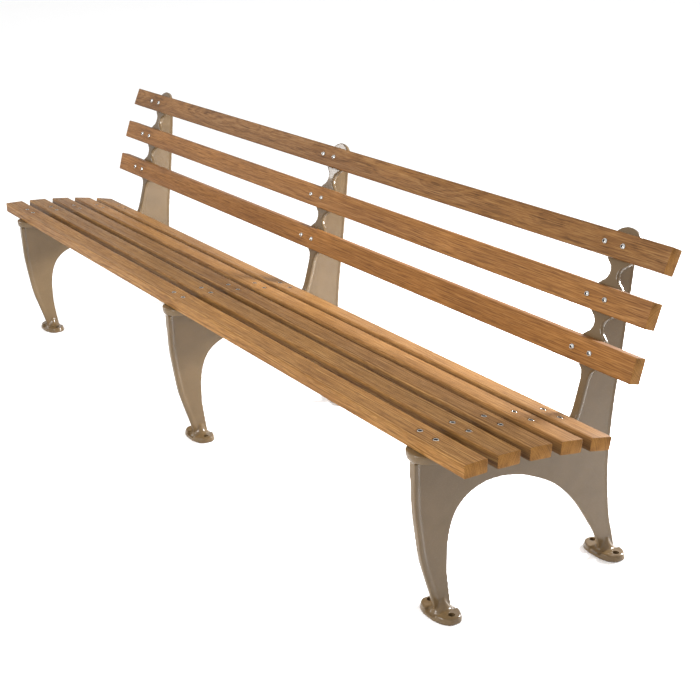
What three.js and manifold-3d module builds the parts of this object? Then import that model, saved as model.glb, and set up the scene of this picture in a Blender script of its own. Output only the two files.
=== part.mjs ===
// Long garden bench: three cast frames, five seat slats, three back slats and the bolts between them.
// Millimetres. +X runs along the bench to the right of someone facing it, +Y to the back, +Z up.
import * as THREE from 'three';
import { mergeVertices } from 'three/addons/utils/BufferGeometryUtils.js';
import Module from 'manifold-3d';

const wasm = await Module();
wasm.setup();

// Slats. All eight are cut from one section.
const slatLength = 2704;
const slatWidth = 61;
const slatThickness = 32;
const slatArris = 2.5;            // chamfer taken off each long edge

// Seat: slats lie on a slightly crowned line that falls towards the back.
const seatSlatCount = 5;
const seatPitch = 88.6;           // along the crown, centre to centre
const seatCrownRadius = 1850;
const seatFrontHeight = 453.5;     // top of the front slat at its middle
const seatFrontY = -271;          // middle of the front slat
const seatFrontTilt = 0;          // degrees, positive lifts the rear edge

// Back: slats follow a second crown that leans further back as it rises.
const backSlatCount = 3;
const backPitch = 125.5;
const backCrownRadius = 1710;
const backFirstLean = 15;         // degrees from upright at the lowest slat
const backSetback = 78.7;         // lowest back slat behind the rearmost seat slat, middle to middle
const backRise = 136.9;           // and above it

// Frames, cast in one piece each.
const frameSpacing = 1188;        // middle frame to end frame
const frameNames = ['left', 'middle', 'right'];
const webThickness = 10;
const strapThickness = 12;        // plate the slats are bolted to
const strapLugRadius = 48;        // rounded plate behind each slat
const seatNeckHalf = 32;          // half width of the seat strap between slats
const backNeckHalf = 13;          // half width of the back strap between slats
const webFrontInset = 8;          // the web stops this far short of the strap's front end
const webTailInset = 6;           // and of its rear end
const webCrest = [[9, 0], [12, 9], [40, 26]];   // top of the web: in from the lug's end, and behind the strap
const frontLegTopDrop = 24;       // the thickened edge stops this far below the seat's underside
const frontLipDrop = 7;           // extra depth of the rounded pad at the front of the seat
const frontLipInset = 1.5;
const frontLipWall = 7;
const legBandHalf = 10.5;         // half width of the thickened front edge of the front leg
const legBandDepth = 12;

// Stem: the strap's run from the tail of the seat up to the lowest back slat.
const stemHalf = 11;              // half its width
const stemSeatLap = 12;           // runs this far into the seat strap, and this far past its end
const stemSeatRise = 3;           // and leaves it this far above its face
const stemLowReach = 92;          // two places below the back strap's lower end,
const stemHighReach = 62;
const stemBow = 2;                // the lower of them this far in front of the strap's line
const stemBackLap = 4;            // runs this far into the back strap

// Feet: an oval pad across each leg, its two ends raised round an anchor hole.
const footHalfLength = 60;
const footHalfWidth = 36;
const footSquareness = 2.3;       // of the oval; 2 would be an ellipse
const footPadHeight = 7.5;
const footEndHeight = 15.5;       // of the raised ends
const footEndInset = 2.5;         // they stand in from the pad's edge
const footEndReach = 18;          // and stop this far from its middle
const footHoleSpacing = 81;
const footHoleDiameter = 16;
const footCollarBase = 27;        // cone that carries the leg into its pad
const footCollarTop = 12;
const footCollarRise = 25;
const frontFootY = -226;
const rearFootSetback = 120;      // behind the middle of the lowest back slat

// Bolts, two through each slat at each frame.
const boltSpacing = 57;
const boltShank = 8;
const backHeadDiameter = 14;      // domed, standing on the slat
const seatHeadDiameter = 16;      // sunk in a counterbore
const boltHeadHeight = 4.4;
const boltCrownShare = 0.66;      // flat on top of the head, as a share of its diameter
const nutAcrossCorners = 14.6;
const nutHeight = 6.5;
const boltTail = 3;               // thread standing past the nut
const counterboreDiameter = 17.4;
const counterboreDepth = 5;

// Fits.
const restGap = 0.3;              // between two pieces that bear on each other
const holeClearance = 1;          // a bolt hole is this much wider than its bolt

// Curve fineness.
const lugSegments = 5;
const scallopSegments = 3;
const boltSegments = 8;
const holeSegments = 12;
const footSegments = 12;
const frontEdgeSteps = 16;
const bandSteps = 12;
const rearEdgeSteps = 22;
const archSteps = 24;
const weld = 0.5;                 // how far joined lumps of one casting run into each other

const rad = THREE.MathUtils.degToRad;
const seatUnderside = seatFrontHeight - slatThickness - restGap;

// One slat place: its middle on the outer face, and the turn about X that lays it there.
function seatPlace(index) {
  const step = seatPitch / seatCrownRadius;
  const place = { y: seatFrontY, z: seatFrontHeight, turn: rad(seatFrontTilt) };
  for (let i = 0; i < index; i += 1) {
    const middle = place.turn - step / 2;
    place.y += seatPitch * Math.cos(middle);
    place.z += seatPitch * Math.sin(middle);
    place.turn -= step;
  }
  return place;
}

function backPlace(index) {
  const step = backPitch / backCrownRadius;
  const tail = seatPlace(seatSlatCount - 1);
  const turn = Math.PI / 2 - rad(backFirstLean);
  const place = { y: tail.y + backSetback, z: tail.z + backRise, turn };
  for (let i = 0; i < index; i += 1) {
    const middle = place.turn - step / 2;
    place.y += backPitch * Math.cos(middle);
    place.z += backPitch * Math.sin(middle);
    place.turn -= step;
  }
  return place;
}

function placesOf(count, finder) {
  return Array.from({ length: count }, (unused, index) => finder(index));
}

const seatPlaces = placesOf(seatSlatCount, seatPlace);
const backPlaces = placesOf(backSlatCount, backPlace);
const topBackPlace = backPlaces[backSlatCount - 1];
const rearFootY = backPlaces[0].y + rearFootSetback;

// Edge lines of the frame, seen from the end: [distance from the middle, height].
// The ends near the floor follow the feet, and the rest follow the slats, so the casting always reaches both.
const frontLegEdge = [
  [frontFootY - 17, 8],
  [frontFootY - 31, 56],
  [frontFootY - 46, 102],
  [seatFrontY - 17, 157],
  [seatFrontY - 30, 236],
  [seatFrontY - 37, seatUnderside - 131],
  [seatFrontY - 40, seatUnderside - 66],
  [seatFrontY - 41, seatUnderside - frontLegTopDrop],
];
const archEdge = [
  [frontFootY + 26, 8],
  [frontFootY + 15, 83],
  [frontFootY + 11, 136],
  [frontFootY + 17, 208],
  [frontFootY + 38, seatUnderside - 163],
  [frontFootY + 76, seatUnderside - 133],
  [frontFootY + 131, seatUnderside - 119],
  [rearFootY - 310, seatUnderside - 126],
  [rearFootY - 251, seatUnderside - 146],
  [rearFootY - 177, seatUnderside - 187],
  [rearFootY - 113, 172],
  [rearFootY - 57, 92],
  [rearFootY - 33, 52],
  [rearFootY - 18, 8],
];
const rearEdge = [
  [rearFootY + 30, 8],
  [rearFootY + 17, 56],
  [rearFootY + 5, 99],
  [rearFootY - 7, 186],
  [rearFootY - 12, seatUnderside - 141],
  [rearFootY - 7, seatUnderside - 38],
  [backPlaces[0].y + 121, backPlaces[0].z - 97],
  [backPlaces[0].y + 130, backPlaces[0].z - 20],
  [topBackPlace.y + 61, topBackPlace.z - 121],
  [topBackPlace.y + 68, topBackPlace.z - 37],
];

// A point given along a slat and down through it, as seen from the end.
function alongPlace(place, along, down) {
  const c = Math.cos(place.turn);
  const s = Math.sin(place.turn);
  return [place.y + along * c + down * s, place.z + along * s - down * c];
}

function placeMatrix(place) {
  const matrix = new THREE.Matrix4().makeRotationX(place.turn);
  return matrix.setPosition(0, place.y, place.z);
}

function toSolid(geometry) {
  const bare = geometry.index ? geometry.toNonIndexed() : geometry.clone();
  bare.deleteAttribute('normal');
  bare.deleteAttribute('uv');
  const merged = mergeVertices(bare, 1e-4);
  return new wasm.Manifold(new wasm.Mesh({
    numProp: 3,
    vertProperties: Float32Array.from(merged.attributes.position.array),
    triVerts: Uint32Array.from(merged.index.array),
  }));
}

function toGeometry(solid) {
  const mesh = solid.getMesh();
  const geometry = new THREE.BufferGeometry();
  geometry.setAttribute('position', new THREE.BufferAttribute(mesh.vertProperties, 3));
  geometry.setIndex(new THREE.BufferAttribute(mesh.triVerts, 1));
  geometry.computeVertexNormals();
  return geometry;
}

function shapeOf(points) {
  return new THREE.Shape(points.map(([a, b]) => new THREE.Vector2(a, b)));
}

function smoothLine(points, steps) {
  const curve = new THREE.SplineCurve(points.map(([a, b]) => new THREE.Vector2(a, b)));
  return curve.getSpacedPoints(steps).map((p) => [p.x, p.y]);
}

// A plate standing in the end view, given a width across the bench's length.
function sidePlate(points, width) {
  const geometry = new THREE.ExtrudeGeometry(shapeOf(points), { depth: width, bevelEnabled: false });
  const turn = new THREE.Matrix4().makeBasis(
    new THREE.Vector3(0, 1, 0),
    new THREE.Vector3(0, 0, 1),
    new THREE.Vector3(1, 0, 0),
  );
  geometry.applyMatrix4(turn);
  geometry.translate(-width / 2, 0, 0);
  return geometry;
}

// A ribbon of even depth laid to the left of a line.
function ribbonPoints(line, depth) {
  const inner = line.map(([a, b], i) => {
    const before = line[Math.max(i - 1, 0)];
    const after = line[Math.min(i + 1, line.length - 1)];
    const run = Math.hypot(after[0] - before[0], after[1] - before[1]);
    return [a - ((after[1] - before[1]) / run) * depth, b + ((after[0] - before[0]) / run) * depth];
  });
  return [...line, ...inner.reverse()];
}

// Outline of one slat's share of a strap: a round lug that necks in to meet its neighbours.
function lugOutline(pitch, neckHalf, openLow, openHigh) {
  const half = pitch / 2;
  const r = (half ** 2 + neckHalf ** 2 - strapLugRadius ** 2) / (2 * (strapLugRadius - neckHalf));
  const meet = Math.atan2(half, neckHalf + r);
  const corner = [];
  for (let i = 0; i <= lugSegments; i += 1) {
    const a = (meet * i) / lugSegments;
    corner.push([strapLugRadius * Math.cos(a), strapLugRadius * Math.sin(a)]);
  }
  for (let i = 1; i <= scallopSegments; i += 1) {
    const a = meet - (meet * i) / scallopSegments;
    corner.push([neckHalf + r - r * Math.cos(a), half - r * Math.sin(a)]);
  }
  corner.push([neckHalf, half + weld]);
  const round = [];
  for (let i = 0; i <= lugSegments; i += 1) {
    const a = (Math.PI / 2) * (i / lugSegments);
    round.push([strapLugRadius * Math.cos(a), strapLugRadius * Math.sin(a)]);
  }
  const high = openHigh ? corner : round;
  const low = openLow ? corner : round;
  const right = high.map(([a, b]) => [a, b]);
  const left = high.map(([a, b]) => [-a, b]).reverse();
  const leftLow = low.map(([a, b]) => [-a, -b]);
  const rightLow = low.map(([a, b]) => [a, -b]).reverse();
  const outline = [...right, ...left, ...leftLow, ...rightLow];
  return outline.filter(([a, b], i) => {
    const [c, d] = outline[(i + 1) % outline.length];
    return Math.hypot(a - c, b - d) > 1e-3;
  });
}

// A strap made of one flat lug per slat, each tangent to the face it carries.
function strapSolids(places, pitch, neckHalf, openFirst) {
  return places.map((place, i) => {
    const outline = lugOutline(pitch, neckHalf, i > 0 || openFirst, i < places.length - 1);
    const plate = new THREE.ExtrudeGeometry(shapeOf(outline), { depth: strapThickness, bevelEnabled: false });
    plate.translate(0, 0, -slatThickness - restGap - strapThickness);
    plate.applyMatrix4(placeMatrix(place));
    return toSolid(plate);
  });
}

// The deeper rim round the front of the first lug, clear of the nuts inside it.
function frontLipSolid(place) {
  const rim = new THREE.Shape();
  const outer = strapLugRadius - frontLipInset;
  rim.absarc(0, 0, outer, Math.PI, 2 * Math.PI);
  rim.absarc(0, 0, outer - frontLipWall, 2 * Math.PI, Math.PI, true);
  const settings = { depth: frontLipDrop + weld, bevelEnabled: false, curveSegments: 2 * lugSegments };
  const lip = new THREE.ExtrudeGeometry(rim, settings);
  lip.translate(0, 0, -slatThickness - restGap - strapThickness - frontLipDrop);
  lip.applyMatrix4(placeMatrix(place));
  return toSolid(lip);
}

// The line the back strap takes from the lowest back slat down to the tail of the seat strap.
function stemLine() {
  const down = slatThickness + restGap;
  const tail = seatPlaces[seatPlaces.length - 1];
  return smoothLine([
    alongPlace(tail, strapLugRadius - stemSeatLap, down),
    alongPlace(tail, strapLugRadius + stemSeatLap, down - stemSeatRise),
    alongPlace(backPlaces[0], -backPitch / 2 - stemLowReach, down - stemBow),
    alongPlace(backPlaces[0], -backPitch / 2 - stemHighReach, down),
    alongPlace(backPlaces[0], -backPitch / 2 + stemBackLap, down),
  ], lugSegments);
}

function stemSolid() {
  const line = stemLine().reverse();
  return toSolid(sidePlate(ribbonPoints(line, strapThickness), 2 * stemHalf));
}

// The thickened front edge of the front leg, fading to the web at the foot.
function legBandSolid() {
  const line = smoothLine(frontLegEdge, bandSteps).reverse();
  const band = sidePlate(ribbonPoints(line, legBandDepth), 2);
  const position = band.attributes.position;
  const top = seatUnderside - frontLegTopDrop;
  for (let i = 0; i < position.count; i += 1) {
    const rise = Math.min(Math.max(position.getZ(i) / top, 0), 1);
    const half = webThickness / 2 + weld + (legBandHalf - webThickness / 2) * rise;
    position.setX(i, position.getX(i) * half);
  }
  return toSolid(band);
}

function webSolid() {
  const middle = slatThickness + restGap + strapThickness / 2;
  const seatRun = seatPlaces.map((place) => alongPlace(place, 0, middle));
  const stemRun = stemLine().slice(2, -1)
    .map(([a, b]) => [a + strapThickness / 2, b - strapThickness / 4]);
  const backRun = backPlaces.map((place) => alongPlace(place, 0, middle));
  const crest = webCrest.map(([inset, behind]) => (
    alongPlace(topBackPlace, strapLugRadius - inset, middle + behind)
  ));
  const outline = [
    ...smoothLine(frontLegEdge, frontEdgeSteps),
    alongPlace(seatPlaces[0], webFrontInset - strapLugRadius, middle),
    ...seatRun,
    alongPlace(seatPlaces[seatPlaces.length - 1], strapLugRadius - webTailInset, middle),
    ...stemRun,
    ...backRun,
    ...crest,
    ...smoothLine(rearEdge, rearEdgeSteps).reverse(),
    ...smoothLine(archEdge, archSteps).reverse(),
  ];
  return toSolid(sidePlate(outline, webThickness));
}

// Half of an oval about the foot's middle, from one side of a cut across it round to the other.
function ovalEnd(inset, cut) {
  const length = footHalfLength - inset;
  const width = footHalfWidth - inset;
  const power = 2 / footSquareness;
  const widest = Math.acos((cut / length) ** (1 / power));
  return Array.from({ length: footSegments + 1 }, (unused, i) => {
    const a = widest * ((2 * i) / footSegments - 1);
    const across = Math.sign(a) * Math.abs(Math.sin(a)) ** power * width;
    return [length * Math.cos(a) ** power, across];
  });
}

function footSolids(y) {
  const turned = (points) => points.map(([a, b]) => [-a, -b]);
  const plate = (points, height) => {
    const solid = new THREE.ExtrudeGeometry(shapeOf(points), { depth: height, bevelEnabled: false });
    return toSolid(solid.translate(0, y, 0));
  };
  const half = ovalEnd(0, 1);
  const end = ovalEnd(footEndInset, footEndReach);
  const collarHeight = footCollarRise + weld;
  const collar = new THREE.CylinderGeometry(footCollarTop, footCollarBase, collarHeight, footSegments);
  collar.rotateX(Math.PI / 2);
  collar.translate(0, y, footPadHeight - weld + collarHeight / 2);
  return [
    plate([...half, ...turned(half)], footPadHeight),
    plate(end, footEndHeight),
    plate(turned(end), footEndHeight),
    toSolid(collar),
  ];
}

function drill(diameter, depth, segments) {
  const tool = new THREE.CylinderGeometry(diameter / 2, diameter / 2, depth, segments);
  tool.rotateX(Math.PI / 2);
  return tool;
}

function footHoles(y) {
  return [-1, 1].map((side) => {
    const tool = drill(footHoleDiameter, 4 * footEndHeight, holeSegments);
    tool.translate((side * footHoleSpacing) / 2, y, 0);
    return toSolid(tool);
  });
}

function strapHoles(places) {
  return places.flatMap((place) => [-1, 1].map((side) => {
    const tool = drill(boltShank + holeClearance, 4 * strapThickness, boltSegments);
    tool.translate((side * boltSpacing) / 2, 0, -slatThickness - strapThickness / 2);
    tool.applyMatrix4(placeMatrix(place));
    return toSolid(tool);
  }));
}

function frameGeometry() {
  const lumps = [
    webSolid(),
    legBandSolid(),
    stemSolid(),
    frontLipSolid(seatPlaces[0]),
    ...strapSolids(seatPlaces, seatPitch, seatNeckHalf, false),
    ...strapSolids(backPlaces, backPitch, backNeckHalf, true),
    ...footSolids(frontFootY),
    ...footSolids(rearFootY),
  ];
  const cuts = [
    ...strapHoles(seatPlaces),
    ...strapHoles(backPlaces),
    ...footHoles(frontFootY),
    ...footHoles(rearFootY),
  ];
  return toGeometry(wasm.Manifold.union(lumps).subtract(wasm.Manifold.union(cuts)));
}

// A slat with its long edges eased, lying with its outer face at z = 0.
function slatGeometry(counterbored) {
  const w = slatWidth / 2;
  const c = slatArris;
  const section = shapeOf([
    [w - c, 0], [-w + c, 0], [-w, -c], [-w, -slatThickness + c],
    [-w + c, -slatThickness], [w - c, -slatThickness], [w, -slatThickness + c], [w, -c],
  ]);
  const bar = new THREE.ExtrudeGeometry(section, { depth: slatLength, bevelEnabled: false });
  bar.applyMatrix4(new THREE.Matrix4().makeBasis(
    new THREE.Vector3(0, 1, 0),
    new THREE.Vector3(0, 0, 1),
    new THREE.Vector3(1, 0, 0),
  ));
  bar.translate(-slatLength / 2, 0, 0);
  const cuts = boltSpots().flatMap((x) => {
    const through = drill(boltShank + holeClearance, 4 * slatThickness, boltSegments);
    through.translate(x, 0, -slatThickness / 2);
    if (!counterbored) return [toSolid(through)];
    const pocket = drill(counterboreDiameter, 2 * counterboreDepth, holeSegments);
    pocket.translate(x, 0, 0);
    return [toSolid(through), toSolid(pocket)];
  });
  return toGeometry(toSolid(bar).subtract(wasm.Manifold.union(cuts)));
}

function frameSpots() {
  return frameNames.map((name, i) => (i - 1) * frameSpacing);
}

function boltSpots() {
  return frameSpots().flatMap((x) => [x - boltSpacing / 2, x + boltSpacing / 2]);
}

// A bolt and the nut run up on it, in the place frame: head outwards, nut behind the strap.
function boltGeometry(headDiameter, seatDepth) {
  const headUnder = restGap - seatDepth;
  const nutTop = -slatThickness - 2 * restGap - strapThickness;
  const end = nutTop - nutHeight - boltTail;
  const shankRadius = boltShank / 2;
  const headRadius = headDiameter / 2;
  const profile = [
    [0, end], [shankRadius, end], [shankRadius, headUnder], [headRadius, headUnder],
    [headRadius * boltCrownShare, headUnder + boltHeadHeight], [0, headUnder + boltHeadHeight],
  ].map(([a, b]) => new THREE.Vector2(a, b));
  const pin = new THREE.LatheGeometry(profile, boltSegments);
  pin.rotateX(Math.PI / 2);
  const nut = new THREE.CylinderGeometry(nutAcrossCorners / 2, nutAcrossCorners / 2, nutHeight, 6);
  nut.rotateX(Math.PI / 2);
  nut.translate(0, 0, nutTop - nutHeight / 2);
  return toGeometry(toSolid(pin).add(toSolid(nut)));
}

const timber = new THREE.MeshStandardMaterial({ color: 0xa9713a, roughness: 0.55, metalness: 0 });
const coating = new THREE.MeshStandardMaterial({ color: 0x84745f, roughness: 0.3, metalness: 0 });
const steel = new THREE.MeshStandardMaterial({ color: 0xc3c6c8, roughness: 0.25, metalness: 1 });

function addMesh(parent, name, geometry, material, x, place) {
  const mesh = new THREE.Mesh(geometry, material);
  mesh.name = name;
  mesh.position.set(x, place.y, place.z);
  mesh.rotation.x = place.turn;
  parent.add(mesh);
}

function addSlats(parent, prefix, places, geometry) {
  places.forEach((place, i) => {
    addMesh(parent, `${prefix}_slat_${i + 1}`, geometry, timber, 0, place);
  });
}

function addBolts(parent, prefix, places, geometry) {
  places.forEach((place, i) => {
    frameSpots().forEach((x, f) => {
      [-1, 1].forEach((side) => {
        const name = `${prefix}_bolt_${i + 1}_${frameNames[f]}_${side < 0 ? 'a' : 'b'}`;
        addMesh(parent, name, geometry, steel, x + (side * boltSpacing) / 2, place);
      });
    });
  });
}

function buildBench() {
  const bench = new THREE.Group();
  bench.name = 'bench';
  const frame = frameGeometry();
  frameSpots().forEach((x, i) => {
    addMesh(bench, `frame_${frameNames[i]}`, frame, coating, x, { y: 0, z: 0, turn: 0 });
  });
  addSlats(bench, 'seat', seatPlaces, slatGeometry(true));
  addSlats(bench, 'back', backPlaces, slatGeometry(false));
  addBolts(bench, 'seat', seatPlaces, boltGeometry(seatHeadDiameter, counterboreDepth));
  addBolts(bench, 'back', backPlaces, boltGeometry(backHeadDiameter, 0));
  return bench;
}

// The bench stands with its feet on the floor and the middle of its depth over the origin.
const bench = buildBench();
bench.updateMatrixWorld(true);
const reach = new THREE.Box3().setFromObject(bench, true);
bench.position.y = -(reach.min.y + reach.max.y) / 2;

export default bench;
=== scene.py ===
import math

import bmesh
import bpy
from mathutils import Matrix, Vector


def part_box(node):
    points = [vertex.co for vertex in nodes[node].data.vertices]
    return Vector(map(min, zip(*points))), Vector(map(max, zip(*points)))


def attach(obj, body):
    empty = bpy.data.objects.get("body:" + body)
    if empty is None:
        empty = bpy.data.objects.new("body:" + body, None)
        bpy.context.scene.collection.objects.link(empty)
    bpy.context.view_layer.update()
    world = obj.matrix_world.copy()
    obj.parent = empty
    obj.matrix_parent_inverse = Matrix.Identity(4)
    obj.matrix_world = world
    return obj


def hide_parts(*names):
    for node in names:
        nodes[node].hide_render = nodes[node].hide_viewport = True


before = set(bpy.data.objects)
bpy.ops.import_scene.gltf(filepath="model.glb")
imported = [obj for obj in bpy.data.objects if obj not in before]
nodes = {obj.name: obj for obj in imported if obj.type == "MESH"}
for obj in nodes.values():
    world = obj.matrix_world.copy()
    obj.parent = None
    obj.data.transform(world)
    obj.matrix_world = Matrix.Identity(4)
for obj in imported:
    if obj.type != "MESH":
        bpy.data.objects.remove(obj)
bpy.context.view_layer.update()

# A long garden bench: oiled hardwood slats on three powder-coated cast frames.
# Everything is in metres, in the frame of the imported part: +X along the bench, +Y to the back.

scene = bpy.context.scene
scene.view_settings.view_transform = "Standard"

FRAMES = ("left", "middle", "right")
SEAT_SLATS = [f"seat_slat_{i}" for i in range(1, 6)]
BACK_SLATS = [f"back_slat_{i}" for i in range(1, 4)]


# ---------------------------------------------------------------- places taken from the part

def slat_place(name):
    """Where a slat lies: a matrix with its outer face at z = 0, and its three sizes."""
    mesh = nodes[name].data
    along = Vector((1, 0, 0))
    facing = {}
    for face in mesh.polygons:
        key = tuple(round(part, 3) for part in face.normal)
        facing[key] = facing.get(key, 0) + face.area
    out = Vector(max(facing, key=facing.get))
    out = Vector((0, out.y, out.z)).normalized()
    if out.z - out.y < 0:
        out.negate()
    across = out.cross(along).normalized()
    reach = []
    for axis in (along, across, out):
        spread = [vert.co.dot(axis) for vert in mesh.vertices]
        reach.append((min(spread), max(spread)))
    middle = [(low + high) / 2 for low, high in reach]
    origin = along * middle[0] + across * middle[1] + out * reach[2][1]
    place = Matrix((along, across, out)).transposed().to_4x4()
    place.translation = origin
    return place, [high - low for low, high in reach]


places = {name: slat_place(name) for name in SEAT_SLATS + BACK_SLATS}
frame_x = {name: sum(corner.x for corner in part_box(f"frame_{name}")) / 2 for name in FRAMES}
SLAT_THICKNESS = places["seat_slat_1"][1][2]


# ---------------------------------------------------------------- small helpers

def linear(code):
    """An sRGB hex colour as linear red, green, blue and alpha."""
    channels = [int(code[i:i + 2], 16) / 255 for i in (1, 3, 5)]
    levels = [c / 12.92 if c <= 0.04045 else ((c + 0.055) / 1.055) ** 2.4 for c in channels]
    return (*levels, 1.0)


def add(tree, kind, values=None, links=None, stops=None, **settings):
    """Adds one shader node with its settings, input values, incoming links and ramp stops."""
    new = tree.nodes.new("ShaderNode" + kind)
    for name, value in settings.items():
        setattr(new, name, value)
    for key, value in (values or {}).items():
        new.inputs[key].default_value = value
    for key, source in (links or {}).items():
        tree.links.new(source, new.inputs[key])
    if stops:
        ramp = new.color_ramp.elements
        while len(ramp) < len(stops):
            ramp.new(0.5)
        for element, (position, colour) in zip(ramp, stops):
            element.position = position
            element.color = colour if isinstance(colour, tuple) else (colour, colour, colour, 1)
    return new


def blank_material(name):
    material = bpy.data.materials.new(name)
    material.use_nodes = True
    material.node_tree.nodes.clear()
    return material, material.node_tree


def new_object(name, bm, *materials):
    mesh = bpy.data.meshes.new(name)
    bm.to_mesh(mesh)
    bm.free()
    for material in materials:
        mesh.materials.append(material)
    piece = bpy.data.objects.new(name, mesh)
    scene.collection.objects.link(piece)
    return piece


def settle(piece):
    """Makes what the modifiers give the object's own mesh."""
    graph = bpy.context.evaluated_depsgraph_get()
    mesh = bpy.data.meshes.new_from_object(piece.evaluated_get(graph))
    piece.modifiers.clear()
    piece.data = mesh


def cut_away(piece, cutters):
    """Cuts a mesh of closed cutters out of a piece."""
    tool = new_object("cutters", cutters)
    cut = piece.modifiers.new("cut", "BOOLEAN")
    cut.operation = "DIFFERENCE"
    cut.solver = "EXACT"
    cut.object = tool
    settle(piece)
    bpy.data.objects.remove(tool)


def shade_smooth(piece, angle):
    for face in piece.data.polygons:
        face.use_smooth = True
    piece.data.set_sharp_from_angle(angle=math.radians(angle))


def finish_piece(piece, slot, *cad_nodes):
    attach(piece, "root")
    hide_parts(*cad_nodes)


# ---------------------------------------------------------------- finishes

# Hardwood such as iroko or teak, planed, its edges eased, and wiped with oil.
# The eye sees fine brown pores drawn out along the length, slow bands where the rings are cut
# at a slant, a tone that drifts along the board, painted shade on the sides, and a low, warm
# sheen.
RING_SPACING = 0.0034        # from one growth ring to the next
FIBRE_SHARE = 0.8            # how much of the figure is fibre and streaks beside the rings
STREAK_SHARE = 0.7
GRAIN_SPREAD = 0.25          # from the middle of the figure to its palest and its darkest
# Each kind of mark in a board: its width and length in metres, then its noise's detail and
# roughness. One pore is about 0.3 mm wide and is drawn coarser so that it shows.
MARKS = {
    "wander": (0.09, 0.34, 3.0, 0.5),       # the slow swing of the grain
    "tone": (0.08, 0.5, 3.0, 0.5),          # paler and darker stretches
    "fibre": (0.0028, 0.14, 4.0, 0.62),
    "streak": (0.0016, 0.06, 2.0, 0.55),
    "pore": (0.0014, 0.032, 1.0, 0.5),
}
PORE_SHIFT = 7.0             # keeps the pores from following the streaks
GAP_SHADE_DEPTH = (-0.010, -0.003)            # painted shade below the outer face: where it is full, and where it starts


def oiled_hardwood(name, place, pith, wander_reach, figure, gap_shade_tone, tones):
    material, tree = blank_material(name)
    base, light, dark = (linear(tone) for tone in tones)
    coords = add(tree, "TexCoord")
    local = add(tree, "Mapping", {"Location": place.translation, "Rotation": place.to_euler()},
                {"Vector": coords.outputs["Object"]}, vector_type="TEXTURE")
    # no two boards repeat each other
    shifts = {"wander": pith[0] * 90, "tone": pith[1] * 60, "pore": PORE_SHIFT}
    marks = {}
    for mark, (width, length, detail, roughness) in MARKS.items():
        drawn = add(tree, "Mapping", {"Scale": (1 / length, 1 / width, 1 / width),
                    "Location": (shifts.get(mark, 0), 0, 0)}, {"Vector": local.outputs[0]})
        marks[mark] = add(tree, "TexNoise",
                          {"Scale": 1.0, "Detail": detail, "Roughness": roughness},
                          {"Vector": drawn.outputs[0]})
    wander = add(tree, "VectorMath", {1: (0.5, 0.5, 0.5)}, {0: marks["wander"].outputs["Color"]},
                 operation="SUBTRACT")
    wander = add(tree, "VectorMath", {1: (0.0, wander_reach, wander_reach)},
                 {0: wander.outputs[0]}, operation="MULTIPLY")
    section = add(tree, "VectorMath", {1: (0, 1, 1)}, {0: local.outputs[0]}, operation="MULTIPLY")
    section = add(tree, "VectorMath", {1: (0, -pith[0], -pith[1])}, {0: section.outputs[0]})
    section = add(tree, "VectorMath", None, {0: section.outputs[0], 1: wander.outputs[0]})
    radius = add(tree, "VectorMath", None, {0: section.outputs[0]}, operation="LENGTH")
    ring = add(tree, "Math", {1: 1 / RING_SPACING}, {0: radius.outputs["Value"]},
               operation="MULTIPLY")
    ring = add(tree, "TexNoise", {"Scale": 1.0, "Detail": 3.0, "Roughness": 0.7},
               {"W": ring.outputs[0]}, noise_dimensions="1D")
    pore = add(tree, "MapRange",
               {"From Min": 0.57, "From Max": 0.7, "To Max": 0.2 + 0.6 * figure},
               {"Value": marks["pore"].outputs["Fac"]})
    grain = add(tree, "Math", {1: figure}, {0: ring.outputs["Fac"]}, operation="MULTIPLY")
    for mark, share in (("fibre", FIBRE_SHARE), ("streak", STREAK_SHARE)):
        grain = add(tree, "Math", {1: share}, {0: marks[mark].outputs["Fac"], 2: grain.outputs[0]},
                    operation="MULTIPLY_ADD")
    middle = (figure + FIBRE_SHARE + STREAK_SHARE) / 2
    spread = {"From Min": middle - GRAIN_SPREAD, "From Max": middle + GRAIN_SPREAD}
    colour = add(tree, "MapRange", spread, {"Value": grain.outputs[0]})
    colour = add(tree, "ValToRGB", None, {0: colour.outputs[0]},
                 [(0.08, light), (0.5, base), (0.92, dark)])
    colour = add(tree, "Mix", {"B": dark}, {"Factor": pore.outputs[0], "A": colour.outputs[0]},
                 data_type="RGBA")
    toned = add(tree, "ValToRGB", None, {0: marks["tone"].outputs["Fac"]},
                [(0.32, (0.80, 0.76, 0.70, 1)), (0.5, 0.97), (0.68, (1.13, 1.12, 1.08, 1))])
    colour = add(tree, "Mix", {"Factor": 1.0},
                 {"A": colour.outputs["Result"], "B": toned.outputs[0]},
                 data_type="RGBA", blend_type="MULTIPLY")
    depth = add(tree, "SeparateXYZ", None, {0: local.outputs[0]})
    low, high = GAP_SHADE_DEPTH
    # painted shade: the wood more than 3 mm below the outer face, that is the sides between slats
    # and the underside, is darkened
    side = add(tree, "MapRange", {"From Min": low, "From Max": high, "To Min": gap_shade_tone},
               {"Value": depth.outputs["Z"]})
    side = add(tree, "CombineColor", None,
               {channel: side.outputs[0] for channel in ("Red", "Green", "Blue")})
    colour = add(tree, "Mix", {"Factor": 1.0},
                 {"A": colour.outputs["Result"], "B": side.outputs[0]},
                 data_type="RGBA", blend_type="MULTIPLY")
    rough = add(tree, "MapRange", {**spread, "To Min": 0.46, "To Max": 0.62},
                {"Value": grain.outputs[0]})
    relief = add(tree, "Math", {1: -1.0}, {0: grain.outputs[0]}, operation="MULTIPLY")
    bump = add(tree, "Bump", {"Strength": 0.3, "Distance": 0.0003}, {"Height": relief.outputs[0]})
    shader = add(tree, "BsdfPrincipled", {"IOR": 1.5, "Specular IOR Level": 0.16},
                 {"Base Color": colour.outputs["Result"], "Roughness": rough.outputs[0],
                  "Normal": bump.outputs[0]})
    add(tree, "OutputMaterial", None, {"Surface": shader.outputs[0]})
    return material


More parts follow.
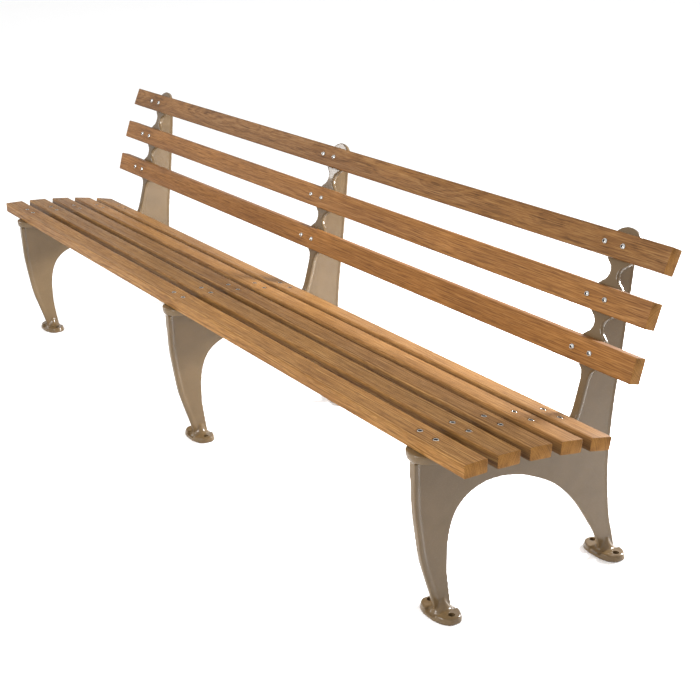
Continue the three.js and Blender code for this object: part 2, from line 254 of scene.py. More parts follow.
# The sawn ends of the same boards: open grain that drinks the oil unevenly, so the rings and
# pores show as darker arcs and specks on a yellower ground.
PORE_SPECK = 0.0016          # open pores, drawn coarser so that they show
OIL_BLOTCHES = 38.0          # in a metre
END_RING_SHARE = 0.35        # beside the specks
END_BLOTCH_SHARE = 0.5


def sawn_end_grain(name, place, pith, tones):
    material, tree = blank_material(name)
    base, light, dark = (linear(tone) for tone in tones)
    coords = add(tree, "TexCoord")
    local = add(tree, "Mapping", {"Location": place.translation, "Rotation": place.to_euler()},
                {"Vector": coords.outputs["Object"]}, vector_type="TEXTURE")
    section = add(tree, "VectorMath", {1: (0, 1, 1)}, {0: local.outputs[0]}, operation="MULTIPLY")
    section = add(tree, "VectorMath", {1: (0, -pith[0], -pith[1])}, {0: section.outputs[0]})
    radius = add(tree, "VectorMath", None, {0: section.outputs[0]}, operation="LENGTH")
    ring = add(tree, "Math", {1: 1 / RING_SPACING}, {0: radius.outputs["Value"]},
               operation="MULTIPLY")
    ring = add(tree, "TexNoise", {"Scale": 1.0, "Detail": 2.5, "Roughness": 0.62},
               {"W": ring.outputs[0]}, noise_dimensions="1D")
    speck = add(tree, "TexNoise", {"Scale": 1 / PORE_SPECK, "Detail": 3.0, "Roughness": 0.7},
                {"Vector": local.outputs[0]})
    blotch = add(tree, "TexNoise", {"Scale": OIL_BLOTCHES, "Detail": 2.0},
                 {"Vector": local.outputs[0]})
    mixed = add(tree, "Math", {1: END_RING_SHARE},
                {0: ring.outputs["Fac"], 2: speck.outputs["Fac"]}, operation="MULTIPLY_ADD")
    mixed = add(tree, "Math", {1: END_BLOTCH_SHARE},
                {0: blotch.outputs["Fac"], 2: mixed.outputs[0]}, operation="MULTIPLY_ADD")
    colour = add(tree, "MapRange", {"From Min": 0.6, "From Max": 1.25},
                 {"Value": mixed.outputs[0]})
    colour = add(tree, "ValToRGB", None, {0: colour.outputs[0]},
                 [(0.15, light), (0.5, base), (0.85, dark)])
    bump = add(tree, "Bump", {"Strength": 0.5, "Distance": 0.0005},
               {"Height": speck.outputs["Fac"]})
    shader = add(tree, "BsdfPrincipled",
                 {"Roughness": 0.66, "IOR": 1.45, "Specular IOR Level": 0.16},
                 {"Base Color": colour.outputs[0], "Normal": bump.outputs[0]})
    add(tree, "OutputMaterial", None, {"Surface": shader.outputs[0]})
    return material


# Gloss polyester powder coat baked on to shot-blasted castings. It flows out over the sand
# texture, so highlights are small and bright with the gentle ripple of orange peel, and the
# colour drifts a little where the coat lies thicker.
PEEL_SPACING = 0.0034        # between the ripples
THICKER_PATCH = 0.06
PIGMENT_FLECK = 0.0016       # drawn coarser than a grain of powder so that it shows


def powder_coat():
    material, tree = blank_material("powder_coated_casting")
    coords = add(tree, "TexCoord")
    peel = add(tree, "TexNoise", {"Scale": 1 / PEEL_SPACING, "Detail": 1.0},
               {"Vector": coords.outputs["Object"]})
    cloud = add(tree, "TexNoise", {"Scale": 1 / THICKER_PATCH, "Detail": 2.0},
                {"Vector": coords.outputs["Object"]})
    fleck = add(tree, "TexNoise", {"Scale": 1 / PIGMENT_FLECK, "Detail": 1.0},
                {"Vector": coords.outputs["Object"]})
    colour = add(tree, "ValToRGB", None, {0: cloud.outputs["Fac"]},
                 [(0.3, linear("#5b4931")), (0.7, linear("#624f36"))])
    flecked = add(tree, "MapRange", {"From Min": 0.56, "From Max": 0.74, "To Max": 0.3},
                  {"Value": fleck.outputs["Fac"]})
    colour = add(tree, "Mix", {"B": linear("#78664d")},
                 {"Factor": flecked.outputs[0], "A": colour.outputs[0]}, data_type="RGBA")
    rough = add(tree, "MapRange", {"To Min": 0.16, "To Max": 0.26},
                {"Value": cloud.outputs["Fac"]})
    bump = add(tree, "Bump", {"Strength": 0.5, "Distance": 0.00012},
               {"Height": peel.outputs["Fac"]})
    shader = add(tree, "BsdfPrincipled", {"IOR": 1.5, "Specular IOR Level": 0.35},
                 {"Base Color": colour.outputs["Result"], "Roughness": rough.outputs[0],
                  "Normal": bump.outputs[0]})
    add(tree, "OutputMaterial", None, {"Surface": shader.outputs[0]})
    return material


# Stainless steel, A2 grade, cold-headed and tumbled: bright, slightly warm grey, with faint
# tumbling marks that break up the reflections.
TUMBLING_MARK = 0.0015       # really about 0.2 mm, drawn coarser so that it shows


def tumbled_stainless():
    material, tree = blank_material("tumbled_stainless")
    coords = add(tree, "TexCoord")
    scuff = add(tree, "TexNoise", {"Scale": 1 / TUMBLING_MARK, "Detail": 3.0},
                {"Vector": coords.outputs["Object"]})
    colour = add(tree, "ValToRGB", None, {0: scuff.outputs["Fac"]},
                 [(0.3, linear("#b9b8b4")), (0.7, linear("#d8d8d6"))])
    rough = add(tree, "MapRange", {"To Min": 0.16, "To Max": 0.3}, {"Value": scuff.outputs["Fac"]})
    bump = add(tree, "Bump", {"Strength": 0.15, "Distance": 0.0002},
               {"Height": scuff.outputs["Fac"]})
    shader = add(tree, "BsdfPrincipled", {"Metallic": 1.0},
                 {"Base Color": colour.outputs[0], "Roughness": rough.outputs[0],
                  "Normal": bump.outputs[0]})
    add(tree, "OutputMaterial", None, {"Surface": shader.outputs[0]})
    return material


# Painted shade for the bolts' deep hex sockets: matt and nearly black.
SHADE_MOTTLE = 0.0008


def painted_socket_shade():
    material, tree = blank_material("painted_socket_shade")
    coords = add(tree, "TexCoord")
    mottle = add(tree, "TexNoise", {"Scale": 1 / SHADE_MOTTLE, "Detail": 3.0},
                {"Vector": coords.outputs["Object"]})
    colour = add(tree, "ValToRGB", None, {0: mottle.outputs["Fac"]},
                 [(0.35, linear("#1c1712")), (0.7, linear("#3a3026"))])
    bump = add(tree, "Bump", {"Strength": 0.4, "Distance": 0.0002},
               {"Height": mottle.outputs["Fac"]})
    shader = add(tree, "BsdfPrincipled", {"Roughness": 0.8, "IOR": 1.45},
                 {"Base Color": colour.outputs[0], "Normal": bump.outputs[0]})
    add(tree, "OutputMaterial", None, {"Surface": shader.outputs[0]})
    return material


coating = powder_coat()
stainless = tumbled_stainless()
socket_shade = painted_socket_shade()


# ---------------------------------------------------------------- slats

BOLT_SPACING = 0.057
BOLT_SHANK = 0.004           # radius
POCKET_RADIUS = 0.0087
POCKET_DEPTH = 0.0050
ARRIS = 0.0028
END_ARRIS = 0.0012
BORE_PLAY = 0.0005


def bolt_lines():
    return [x + side * BOLT_SPACING / 2 for x in frame_x.values() for side in (-1, 1)]


def slat(name, pocketed, materials):
    place, (length, width, thickness) = places[name]
    bm = bmesh.new()
    bmesh.ops.create_cube(bm, size=1)
    bmesh.ops.scale(bm, vec=(length, width, thickness), verts=bm.verts)
    bmesh.ops.translate(bm, vec=(0, 0, -thickness / 2), verts=bm.verts)
    long_edges = [e for e in bm.edges if abs((e.verts[0].co - e.verts[1].co).x) > length / 2]
    bmesh.ops.bevel(bm, geom=long_edges, offset=ARRIS, segments=4, profile=0.5,
                    affect="EDGES", material=-1)
    rims = [e for e in bm.edges if abs(abs(e.verts[0].co.x) - length / 2) < 1e-6
            and abs(abs(e.verts[1].co.x) - length / 2) < 1e-6]
    bmesh.ops.bevel(bm, geom=rims, offset=END_ARRIS, segments=2, profile=0.5,
                    affect="EDGES", material=-1)
    for face in bm.faces:
        face.material_index = 1 if abs(face.normal.x) > 0.9 else 0
    piece = new_object(name + "_board", bm, *materials)
    drills = [(BOLT_SHANK + BORE_PLAY, thickness * 3)]
    if pocketed:
        drills.append((POCKET_RADIUS, 2 * POCKET_DEPTH))
    for radius, depth in drills:
        cutters = bmesh.new()
        for x in bolt_lines():
            bmesh.ops.create_cone(cutters, cap_ends=True, segments=32, radius1=radius,
                                  radius2=radius, depth=depth,
                                  matrix=Matrix.Translation((x, 0, 0)))
        cut_away(piece, cutters)
    piece.data.transform(place)
    shade_smooth(piece, 35)
    finish_piece(piece, "timber", name)


# For each board: where the heart of the tree lay from the middle of its face and how far its
# grain wanders, in metres, how strong its rings show, and its tones: ground, paler early wood,
# darker late wood and pores.
BOARDS = {
    "seat_slat_1": ((-0.13, -0.05), 0.016, 0.85, ("#855c2d", "#a27a45", "#5c3b1a")),
    "seat_slat_2": ((0.12, -0.06), 0.018, 0.90, ("#835c2e", "#9d7745", "#5b3c1b")),
    "seat_slat_3": ((-0.10, -0.09), 0.018, 0.90, ("#825b2f", "#9b7546", "#5a3b1c")),
    "seat_slat_4": ((0.14, -0.04), 0.012, 0.70, ("#8a6133", "#a57c4b", "#62411f")),
    "seat_slat_5": ((-0.12, -0.07), 0.012, 0.60, ("#8c6335", "#a67e4d", "#644321")),
    "back_slat_1": ((0.09, -0.08), 0.020, 0.35, ("#805426", "#946838", "#573618")),
    "back_slat_2": ((-0.07, -0.10), 0.028, 0.35, ("#7f5427", "#936838", "#563618")),
    "back_slat_3": ((0.02, -0.09), 0.040, 0.50, ("#724c24", "#856034", "#4c3013")),
}
PAINTED_GAP_SHADE = 0.5            # painted shade on the sides that face another slat, and on the underside
END_TONES = ("#83592a", "#a1743a", "#4a2f12")

for board, (pith, wander_reach, figure, tones) in BOARDS.items():
    place = places[board][0]
    # only the seat slats behind the first get painted shade on their sides
    gap_shade_tone = PAINTED_GAP_SHADE if board in SEAT_SLATS[1:] else 1.0
    wood = oiled_hardwood("oiled_hardwood_" + board, place, pith, wander_reach, figure, gap_shade_tone,
                          tones)
    ends = sawn_end_grain("sawn_end_grain_" + board, place, pith, END_TONES)
    slat(board, board in SEAT_SLATS, (wood, ends))


# ---------------------------------------------------------------- cast frames

FRONT_FOOT_Y = -0.226
FRONT_REACH = 0.319          # from the drawing's own origin to the casting's foremost point
REAR_FOOT_BEHIND = 0.120     # behind the face of the lowest back slat
IN_FOOT = 0.008              # where the legs' edges start, inside the foot
WEB = 0.010
STRAP = 0.012
REST = 0.0003
LUG_RADIUS = 0.048
SEAT_NECK = 0.032            # half widths between two lugs
BACK_NECK = 0.013
WEB_FRONT_INSET = 0.008      # where the web ends short of the lugs
WEB_TAIL_INSET = 0.006
WEB_CREST = [(0.009, 0.0), (0.012, 0.009), (0.040, 0.026)]   # inset from the lug, depth behind
STEM_WIDTH = 0.022
STEM_SEAT_LAP = 0.012        # the stem's run from under the seat's tail up behind the back
STEM_SEAT_RISE = 0.003
STEM_LOW_REACH = 0.092
STEM_HIGH_REACH = 0.062
STEM_BOW = 0.002
STEM_BACK_LAP = 0.004
RIM_INSET = 0.0015           # the rim under the front lug
RIM_WIDTH = 0.0070
RIM_DEPTH = 0.0070
RIM_OVERLAP = 0.0005
FRONT_BAND = (0.012, 0.0105, 0.0055)     # depth, half width under the seat, half width below
REAR_BAND = (0.006, 0.0068, 0.0055)
SKIN_VOXEL = 0.0024          # keeps one casting under 200,000 triangles
shift_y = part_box("frame_middle")[0].y + FRONT_REACH


def smooth_line(points, per_span):
    """A Catmull-Rom line through the points."""
    points = [Vector(p) for p in points]
    ends = [2 * points[0] - points[1]] + points + [2 * points[-1] - points[-2]]
    line = []
    for a, b, c, d in zip(ends, ends[1:], ends[2:], ends[3:]):
        for i in range(per_span):
            t = i / per_span
            line.append(0.5 * (2 * b + (c - a) * t + (2 * a - 5 * b + 4 * c - d) * t * t
                               + (3 * b - a - 3 * c + d) * t ** 3))
    return line + [points[-1]]


def plate(bm, outline, depth):
    """A flat plate from an outline, standing on z = 0 and going up by its depth."""
    face = bm.faces.new([bm.verts.new((a, b, 0)) for a, b in outline])
    raised = bmesh.ops.extrude_face_region(bm, geom=[face])["geom"]
    top = [g for g in raised if isinstance(g, bmesh.types.BMVert)]
    bmesh.ops.translate(bm, vec=(0, 0, depth), verts=top)


def upright_plate(outline, width):
    """A plate in the frame's own plane, its outline given as depth and height."""
    part = bmesh.new()
    plate(part, outline, width)
    turn = Matrix(((0, 0, 1, 0), (1, 0, 0, 0), (0, 1, 0, 0), (0, 0, 0, 1)))
    middled = Matrix.Translation((-width / 2, 0, 0))
    bmesh.ops.transform(part, matrix=middled @ turn, verts=part.verts)
    return part


def gather(bm, part):
    """Moves one lump into the casting, with its faces turned outwards."""
    bmesh.ops.recalc_face_normals(part, faces=part.faces)
    mesh = bpy.data.meshes.new("lump")
    part.to_mesh(mesh)
    part.free()
    bm.from_mesh(mesh)
    bpy.data.meshes.remove(mesh)


def ribbon(line, depth):
    """A band of even depth to the left of a line."""
    inner = []
    for i, point in enumerate(line):
        run = (line[min(i + 1, len(line) - 1)] - line[max(i - 1, 0)]).normalized()
        inner.append(point + Vector((-run.y, run.x)) * depth)
    return list(line) + inner[::-1]


def down_through(place, along, down):
    """A point along a slat and down through it, as depth and height."""
    spot = place @ Vector((0, along, -down))
    return Vector((spot.y, spot.z))


seat_places = [places[name][0] for name in SEAT_SLATS]
back_places = [places[name][0] for name in BACK_SLATS]
UNDER = SLAT_THICKNESS + REST
seat_under = seat_places[0].translation.z - UNDER
front_y = seat_places[0].translation.y
rear_foot_y = back_places[0].translation.y + REAR_FOOT_BEHIND
front_foot_y = FRONT_FOOT_Y + shift_y
low_back = back_places[0].translation
top_back = back_places[-1].translation

front_leg_edge = [
    (front_foot_y - 0.017, IN_FOOT), (front_foot_y - 0.031, 0.056), (front_foot_y - 0.046, 0.102),
    (front_y - 0.017, 0.157), (front_y - 0.030, 0.236), (front_y - 0.037, seat_under - 0.131),
    (front_y - 0.040, seat_under - 0.066), (front_y - 0.041, seat_under - 0.024),
]
arch_edge = [
    (front_foot_y + 0.026, IN_FOOT), (front_foot_y + 0.015, 0.083), (front_foot_y + 0.011, 0.136),
    (front_foot_y + 0.017, 0.208), (front_foot_y + 0.038, seat_under - 0.163),
    (front_foot_y + 0.076, seat_under - 0.133), (front_foot_y + 0.131, seat_under - 0.119),
    (rear_foot_y - 0.310, seat_under - 0.126), (rear_foot_y - 0.251, seat_under - 0.146),
    (rear_foot_y - 0.177, seat_under - 0.187), (rear_foot_y - 0.113, 0.172),
    (rear_foot_y - 0.057, 0.092), (rear_foot_y - 0.033, 0.052), (rear_foot_y - 0.018, IN_FOOT),
]
rear_edge = [
    (rear_foot_y + 0.030, IN_FOOT), (rear_foot_y + 0.017, 0.056), (rear_foot_y + 0.005, 0.099),
    (rear_foot_y - 0.007, 0.186), (rear_foot_y - 0.012, seat_under - 0.141),
    (rear_foot_y - 0.007, seat_under - 0.038),
    (low_back.y + 0.121, low_back.z - 0.097), (low_back.y + 0.130, low_back.z - 0.020),
    (top_back.y + 0.061, top_back.z - 0.121), (top_back.y + 0.068, top_back.z - 0.037),
]
tail = seat_places[-1]
pitch_back = (back_places[1].translation - back_places[0].translation).length
pitch_seat = (seat_places[1].translation - seat_places[0].translation).length
stem_line = smooth_line([
    down_through(tail, LUG_RADIUS - STEM_SEAT_LAP, UNDER),
    down_through(tail, LUG_RADIUS + STEM_SEAT_LAP, UNDER - STEM_SEAT_RISE),
    down_through(back_places[0], -pitch_back / 2 - STEM_LOW_REACH, UNDER - STEM_BOW),
    down_through(back_places[0], -pitch_back / 2 - STEM_HIGH_REACH, UNDER),
    down_through(back_places[0], -pitch_back / 2 + STEM_BACK_LAP, UNDER),
], 8)


def web(bm):
    """The plate behind every edge: legs, arch, seat bar and back upright."""
    middle = UNDER + STRAP / 2
    outline = smooth_line(front_leg_edge, 8)
    outline.append(down_through(seat_places[0], -LUG_RADIUS + WEB_FRONT_INSET, middle))
    outline += [down_through(place, 0, middle) for place in seat_places]
    outline.append(down_through(tail, LUG_RADIUS - WEB_TAIL_INSET, middle))
    free_stem = stem_line[10:-4]         # the part clear of both straps
    outline += [point + Vector((STRAP / 2, -STRAP / 4)) for point in free_stem]
    outline += [down_through(place, 0, middle) for place in back_places]
    outline += [down_through(back_places[-1], LUG_RADIUS - inset, middle + behind)
                for inset, behind in WEB_CREST]
    outline += smooth_line(rear_edge, 8)[::-1]
    outline += smooth_line(arch_edge, 8)[::-1]
    gather(bm, upright_plate(outline, WEB))


def fading_band(bm, edge, depth, half_top, half_foot):
    """The thickened edge of a leg, widest under the seat and fading out at the foot."""
    part = upright_plate(ribbon(smooth_line(edge, 4)[::-1], depth), 2.0)    # half width 1
    for vert in part.verts:
        rise = min(max(vert.co.z / seat_under, 0), 1)
        vert.co.x *= half_foot + (half_top - half_foot) * rise
    gather(bm, part)


def lug_outline(pitch, neck, open_low, open_high):
    """One slat's share of a strap: a round lug that necks in to meet its neighbours."""
    half = pitch / 2
    bite = (half ** 2 + neck ** 2 - LUG_RADIUS ** 2) / (2 * (LUG_RADIUS - neck))
    meet = math.atan2(half, neck + bite)
    necked = [(LUG_RADIUS * math.cos(meet * i / 12), LUG_RADIUS * math.sin(meet * i / 12))
              for i in range(13)]
    necked += [(neck + bite - bite * math.cos(meet * (1 - i / 8)),
                half - bite * math.sin(meet * (1 - i / 8))) for i in range(1, 9)]
    necked.append((neck, half + 0.0005))
    quarter = [math.pi / 2 * i / 16 for i in range(16)]
    rounded = [(LUG_RADIUS * math.cos(a), LUG_RADIUS * math.sin(a)) for a in quarter]
    high = necked if open_high else rounded + [(0, LUG_RADIUS)]
    low = necked if open_low else rounded + [(0, LUG_RADIUS)]
    outline = high + [(-a, b) for a, b in high[::-1]] + [(-a, -b) for a, b in low]
    outline += [(a, -b) for a, b in low[::-1]]
    return [p for i, p in enumerate(outline) if math.dist(p, outline[i - 1]) > 1e-5]


def strap(bm, strap_places, pitch, neck, open_first):
    for i, place in enumerate(strap_places):
        part = bmesh.new()
        open_low, open_high = i > 0 or open_first, i < len(strap_places) - 1
        plate(part, lug_outline(pitch, neck, open_low, open_high), STRAP)
        bmesh.ops.translate(part, vec=(0, 0, -UNDER - STRAP), verts=part.verts)
        bmesh.ops.transform(part, matrix=place, verts=part.verts)
        gather(bm, part)


def front_rim(bm):
    """The deeper rim round the front of the first lug."""
    outer, inner = LUG_RADIUS - RIM_INSET, LUG_RADIUS - RIM_INSET - RIM_WIDTH
    arc = [math.pi + math.pi * i / 24 for i in range(25)]
    outline = [(outer * math.cos(a), outer * math.sin(a)) for a in arc]
    outline += [(inner * math.cos(a), inner * math.sin(a)) for a in arc[::-1]]
    part = bmesh.new()
    plate(part, outline, RIM_DEPTH + RIM_OVERLAP)
    bmesh.ops.translate(part, vec=(0, 0, -UNDER - STRAP - RIM_DEPTH), verts=part.verts)
    bmesh.ops.transform(part, matrix=seat_places[0], verts=part.verts)
    gather(bm, part)


FOOT_SPACING = 0.081
FOOT_HALF_LENGTH = 0.060
FOOT_HALF_WIDTH = 0.036
FOOT_SQUARENESS = 2.3        # of the oval; 2 would be an ellipse
FOOT_PAD = 0.0075
FOOT_END = 0.0155
FOOT_END_INSET = 0.0022
FOOT_END_REACH = 0.019
FOOT_HOLE = 0.008            # radius
FOOT_BOSS = (0.0142, 0.0127, 0.0165)     # radius at the floor and on top, and height
FOOT_EASING = (0.0022, 0.0035)           # of the pad's edge and of the raised ends
HUMP_BEHIND = 0.002
# The hump's outline from its widest upwards, as radius and height above the floor.
HUMP = [(0, 0.004), (0.0300, 0.004), (0.0285, 0.0085), (0.0255, 0.0122), (0.0210, 0.0160),
        (0.0165, 0.0205), (0.0130, 0.0260), (0.0103, 0.0325), (0.0080, 0.0400), (0, 0.0405)]


def oval_end(inset, cut):
    """Half of the foot's oval, from one side of a cut across it round to the other."""
    length, width, power = FOOT_HALF_LENGTH - inset, FOOT_HALF_WIDTH - inset, 2 / FOOT_SQUARENESS
    widest = math.acos((cut / length) ** (1 / power))
    turns = [widest * (i / 14 - 1) for i in range(29)]
    return [(length * math.cos(a) ** power,
             math.copysign(abs(math.sin(a)) ** power, a) * width) for a in turns]


def eased_plate(bm, outline, depth, rounding, y):
    """A plate on the floor with its top edge rounded over."""
    part = bmesh.new()
    plate(part, outline, depth)
    rim = [e for e in part.edges if all(vert.co.z > depth / 2 for vert in e.verts)]
    bmesh.ops.bevel(part, geom=rim, offset=rounding, segments=4, profile=0.5, affect="EDGES",
                    material=-1)
    bmesh.ops.translate(part, vec=(0, y, 0), verts=part.verts)
    gather(bm, part)


def foot(bm, y):
    """A stepped oval pad: a low rim all round, two raised ends with an anchor hole in each,
    and between them the hump that flares up into the leg."""
    half = oval_end(0, 0.001)
    pad_easing, end_easing = FOOT_EASING
    eased_plate(bm, half + [(-a, -b) for a, b in half], FOOT_PAD, pad_easing, y)
    end = oval_end(FOOT_END_INSET, FOOT_END_REACH)
    eased_plate(bm, end, FOOT_END, end_easing, y)
    eased_plate(bm, [(-a, -b) for a, b in end], FOOT_END, end_easing, y)
    low, high, height = FOOT_BOSS
    for side in (-1, 1):
        part = bmesh.new()
        spot = Matrix.Translation((side * FOOT_SPACING / 2, y, height / 2))
        bmesh.ops.create_cone(part, cap_ends=True, segments=40, radius1=low, radius2=high,
                              depth=height, matrix=spot)
        gather(bm, part)
    part = bmesh.new()
    verts = [part.verts.new((radius, 0, z)) for radius, z in HUMP]
    edges = [part.edges.new(pair) for pair in zip(verts, verts[1:])]
    bmesh.ops.spin(part, geom=verts + edges, axis=(0, 0, 1), cent=(0, 0, 0), steps=40,
                   angle=2 * math.pi, use_merge=True)
    bmesh.ops.remove_doubles(part, verts=part.verts, dist=1e-6)
    bmesh.ops.translate(part, vec=(0, y + HUMP_BEHIND, 0), verts=part.verts)
    gather(bm, part)


def frame_cutters():
    cutters = bmesh.new()
    for strap_places in (seat_places, back_places):
        for place in strap_places:
            for side in (-1, 1):
                spot = Matrix.Translation((side * BOLT_SPACING / 2, 0, -UNDER - STRAP / 2))
                bore = BOLT_SHANK + BORE_PLAY
                bmesh.ops.create_cone(cutters, cap_ends=True, segments=24, radius1=bore,
                                      radius2=bore, depth=0.04, matrix=place @ spot)
    for y in (front_foot_y, rear_foot_y):
        for side in (-1, 1):
            spot = Matrix.Translation((side * FOOT_SPACING / 2, y, 0))
            bmesh.ops.create_cone(cutters, cap_ends=True, segments=40, radius1=FOOT_HOLE,
                                  radius2=FOOT_HOLE, depth=0.08, matrix=spot)
    return cutters


def casting():
    """One frame: its lumps run together, with the soft edges and fillets of a sand casting."""
    bm = bmesh.new()
    web(bm)
    fading_band(bm, front_leg_edge, *FRONT_BAND)
    fading_band(bm, rear_edge[::-1], *REAR_BAND)
    gather(bm, upright_plate(ribbon(stem_line[::-1], STRAP), STEM_WIDTH))
    strap(bm, seat_places, pitch_seat, SEAT_NECK, False)
    strap(bm, back_places, pitch_back, BACK_NECK, True)
    front_rim(bm)
    foot(bm, front_foot_y)
    foot(bm, rear_foot_y)
    piece = new_object("casting", bm, coating)
    skin = piece.modifiers.new("run_together", "REMESH")
    skin.mode = "VOXEL"
    skin.voxel_size = SKIN_VOXEL
    soften = piece.modifiers.new("soften", "SMOOTH")
    soften.factor = 0.5
    soften.iterations = 3
    settle(piece)
    cut_away(piece, frame_cutters())
    return piece


rough_casting = casting()
for name in FRAMES:
    piece = rough_casting.copy()
    piece.data = rough_casting.data.copy()
    piece.name = f"cast_frame_{name}"
    scene.collection.objects.link(piece)
    piece.data.transform(Matrix.Translation((frame_x[name], 0, 0)))
    shade_smooth(piece, 50)
    finish_piece(piece, "coating", f"frame_{name}")
bpy.data.objects.remove(rough_casting)


# ---------------------------------------------------------------- bolts

HEAD_HEIGHT = 0.0044
NUT_RADIUS = 0.0073
NUT_HEIGHT = 0.0065
NUT_EASING = 0.0006
BOLT_TAIL = 0.0030           # of the shank past the nut
TIP_EASING = 0.0008
SOCKET_LIP = 0.0003

# Head outlines from the socket's mouth outwards, as radius and height below the crown.
DOMED_HEAD = [(0.0036, 0.0), (0.0042, 0.0002), (0.0050, 0.0008), (0.0058, 0.0016),
              (0.0063, 0.0024), (0.0068, 0.0033), (0.0070, 0.0040), (0.0068, 0.0044)]
BUTTON_HEAD = [(0.0053, 0.0002), (0.0056, 0.0), (0.0060, 0.0002), (0.0066, 0.0006),
               (0.0072, 0.0011), (0.0077, 0.0018), (0.0080, 0.0028), (0.0080, 0.0038),
               (0.0077, 0.0044)]


def bolt_mesh(outline, socket, socket_depth, sunk):
    """A bolt with a hex socket in its head, and its nut, in a slat's own place."""
    under = REST - sunk
    crown = under + HEAD_HEIGHT
    nut_top = -SLAT_THICKNESS - 2 * REST - STRAP
    end = nut_top - NUT_HEIGHT - BOLT_TAIL
    profile = [(radius, crown - drop) for radius, drop in outline]
    profile += [(BOLT_SHANK, under), (BOLT_SHANK, end + TIP_EASING),
                (BOLT_SHANK - TIP_EASING, end)]
    bm = bmesh.new()
    verts = [bm.verts.new((radius, 0, z)) for radius, z in profile]
    edges = [bm.edges.new(pair) for pair in zip(verts, verts[1:])]
    bmesh.ops.spin(bm, geom=verts + edges, axis=(0, 0, 1), cent=(0, 0, 0), steps=24,
                   angle=2 * math.pi, use_merge=True)
    bmesh.ops.remove_doubles(bm, verts=bm.verts, dist=1e-6)
    mouth = [e for e in bm.edges if e.is_boundary and e.verts[0].co.z > under]
    lip = bmesh.ops.extrude_edge_only(bm, edges=mouth)["geom"]
    for vert in (g for g in lip if isinstance(g, bmesh.types.BMVert)):
        turn = math.atan2(vert.co.y, vert.co.x) % (math.pi / 3) - math.pi / 6
        side = Vector((vert.co.x, vert.co.y)).normalized() * socket / math.cos(turn)
        vert.co = (side.x, side.y, vert.co.z - SOCKET_LIP)
    mouth = [g for g in lip if isinstance(g, bmesh.types.BMEdge) and g.is_boundary]
    floor = bmesh.ops.extrude_edge_only(bm, edges=mouth)["geom"]
    floor = [g for g in floor if isinstance(g, bmesh.types.BMVert)]
    bmesh.ops.translate(bm, vec=(0, 0, -socket_depth), verts=floor)
    bmesh.ops.holes_fill(bm, edges=[e for e in bm.edges if e.is_boundary])
    # the socket's walls and floor take the second material, painted shade
    for face in bm.faces:
        centre = face.calc_center_median()
        if centre.xy.length < outline[0][0] and under + 0.0002 < centre.z < crown - 0.0007:
            face.material_index = 1
    nut = bmesh.new()
    bmesh.ops.create_cone(nut, cap_ends=True, segments=6, radius1=NUT_RADIUS, radius2=NUT_RADIUS,
                          depth=NUT_HEIGHT,
                          matrix=Matrix.Translation((0, 0, nut_top - NUT_HEIGHT / 2)))
    rims = [e for e in nut.edges if abs(e.verts[0].co.z - e.verts[1].co.z) < 1e-6]
    bmesh.ops.bevel(nut, geom=rims, offset=NUT_EASING, segments=2, profile=0.5, affect="EDGES",
                    material=-1)
    gather(bm, nut)
    bmesh.ops.recalc_face_normals(bm, faces=bm.faces)
    return bm


def fit_bolts(group, slat_names, **bolt):
    for number, slat_name in enumerate(slat_names, 1):
        for name in FRAMES:
            for letter, side in (("a", -1), ("b", 1)):
                bm = bolt_mesh(**bolt)
                x = frame_x[name] + side * BOLT_SPACING / 2
                place = places[slat_name][0] @ Matrix.Translation((x, 0, 0))
                # every bolt stopped at a turn of its own when it was tightened
                turn = Matrix.Rotation(math.radians(17 * number + 31 * side + 40 * x), 4, "Z")
                bmesh.ops.transform(bm, matrix=place @ turn, verts=bm.verts)
                cad_name = f"{group}_bolt_{number}_{name}_{letter}"
                piece = new_object(cad_name + "_steel", bm, stainless, socket_shade)
                shade_smooth(piece, 32)
                finish_piece(piece, "steel", cad_name)


fit_bolts("seat", SEAT_SLATS, outline=BUTTON_HEAD, socket=0.0045, socket_depth=0.0029,
          sunk=POCKET_DEPTH)
fit_bolts("back", BACK_SLATS, outline=DOMED_HEAD, socket=0.0030, socket_depth=0.0026, sunk=0.0)


# ---------------------------------------------------------------- floor, light and camera

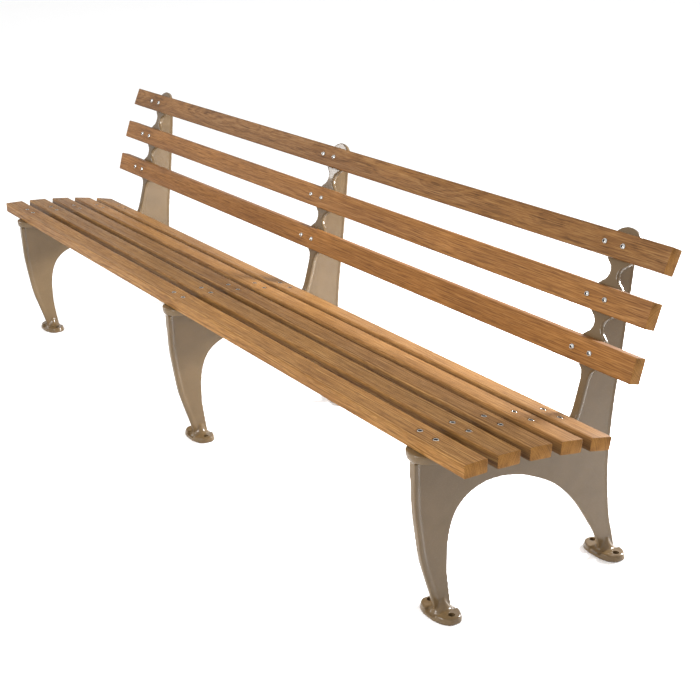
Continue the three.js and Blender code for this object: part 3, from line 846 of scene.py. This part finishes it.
def studio_floor():
    material, tree = blank_material("painted_studio_floor")
    shader = add(tree, "BsdfPrincipled", {"Base Color": linear("#fafafa"), "Roughness": 0.85})
    add(tree, "OutputMaterial", None, {"Surface": shader.outputs[0]})
    bm = bmesh.new()
    bmesh.ops.create_grid(bm, x_segments=1, y_segments=1, size=40)
    floor = new_object("studio_floor", bm, material)


def soft_box(name, spot, target, width, height, power):
    lamp = bpy.data.lights.new(name, "AREA")
    lamp.shape = "RECTANGLE"
    lamp.size, lamp.size_y = width, height
    lamp.energy = power
    light = bpy.data.objects.new(name, lamp)
    light.location = spot
    light.rotation_euler = (Vector(target) - Vector(spot)).to_track_quat("-Z", "Y").to_euler()
    scene.collection.objects.link(light)


def soft_world():
    world = bpy.data.worlds.new("soft_studio_air")
    world.use_nodes = True
    tree = world.node_tree
    tree.nodes.clear()
    air = add(tree, "Background", {"Color": (1, 1, 1, 1), "Strength": 0.95})
    add(tree, "OutputWorld", None, {"Surface": air.outputs[0]})
    scene.world = world


CAMERA_SPOT = (3.1855, -1.7844, 1.5675)
LENS = 65.97                 # mm, on a 36 mm sensor
HEADING, TILT, ROLL = 56.598, 69.788, -0.295     # degrees


def aim_camera():
    lens = bpy.data.cameras.new("camera")
    lens.sensor_width = 36
    lens.lens = LENS
    lens.clip_end = 200
    camera = bpy.data.objects.new("camera", lens)
    camera.location = CAMERA_SPOT
    look = Matrix.Identity(3)
    for angle, axis in ((HEADING, "Z"), (TILT, "X"), (ROLL, "Z")):
        look = look @ Matrix.Rotation(math.radians(angle), 3, axis)
    camera.rotation_euler = look.to_euler()
    scene.collection.objects.link(camera)
    scene.camera = camera


studio_floor()
soft_world()
# Low behind the bench, so that it reaches the rear seat slats from under the back.
soft_box("back_key", (0.95, 2.2, 1.17), (-0.1, 0, 0.4), 0.6, 0.5, 175)
# In front, short of the right frame, whose outer face stays in its own shade.
soft_box("front_fill", (0.85, -2.6, 1.9), (0, 0, 0.4), 0.7, 0.7, 70)
soft_box("left_fill", (-3.0, -1.6, 1.8), (-1.0, 0, 0.4), 0.8, 0.8, 26)
# High over the floor behind, to keep it white.
soft_box("backdrop_wash", (-7.0, 7.0, 10.0), (-7.0, 7.0, 0), 6.0, 6.0, 170)
aim_camera()
